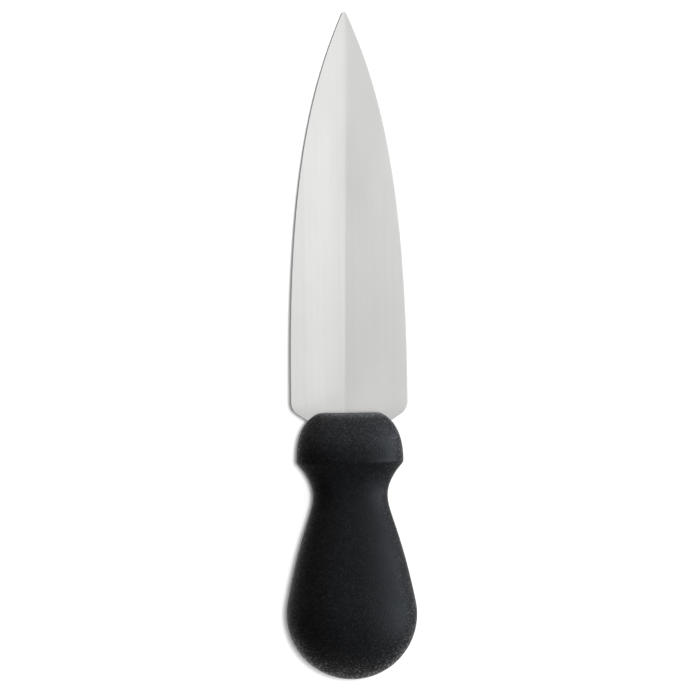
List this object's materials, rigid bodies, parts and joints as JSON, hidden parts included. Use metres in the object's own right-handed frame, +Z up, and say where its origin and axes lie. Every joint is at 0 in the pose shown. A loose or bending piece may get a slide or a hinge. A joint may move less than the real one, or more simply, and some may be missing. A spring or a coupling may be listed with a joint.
{
  "type": "parmesan knife",
  "caption": "Parmesan knife with a wide almond-shaped steel blade ground from a centre ridge to two edges, and a short pear-shaped black plastic handle moulded over its tang.",
  "frame": {"origin": "on the table under the middle of the box around the lying knife", "axes": "+Y along the knife towards the tip, +X across the blade to the right seen from above, +Z up from the table"},
  "size_m": [0.0454, 0.2326, 0.0326],
  "materials": {
    "steel": "satin, ground along the blade",
    "plastic": "fine moulded stipple"
  },
  "bodies": {
    "root": {"blade_with_tang": "steel", "moulded_handle": "plastic"}
  },
  "joints": []
}
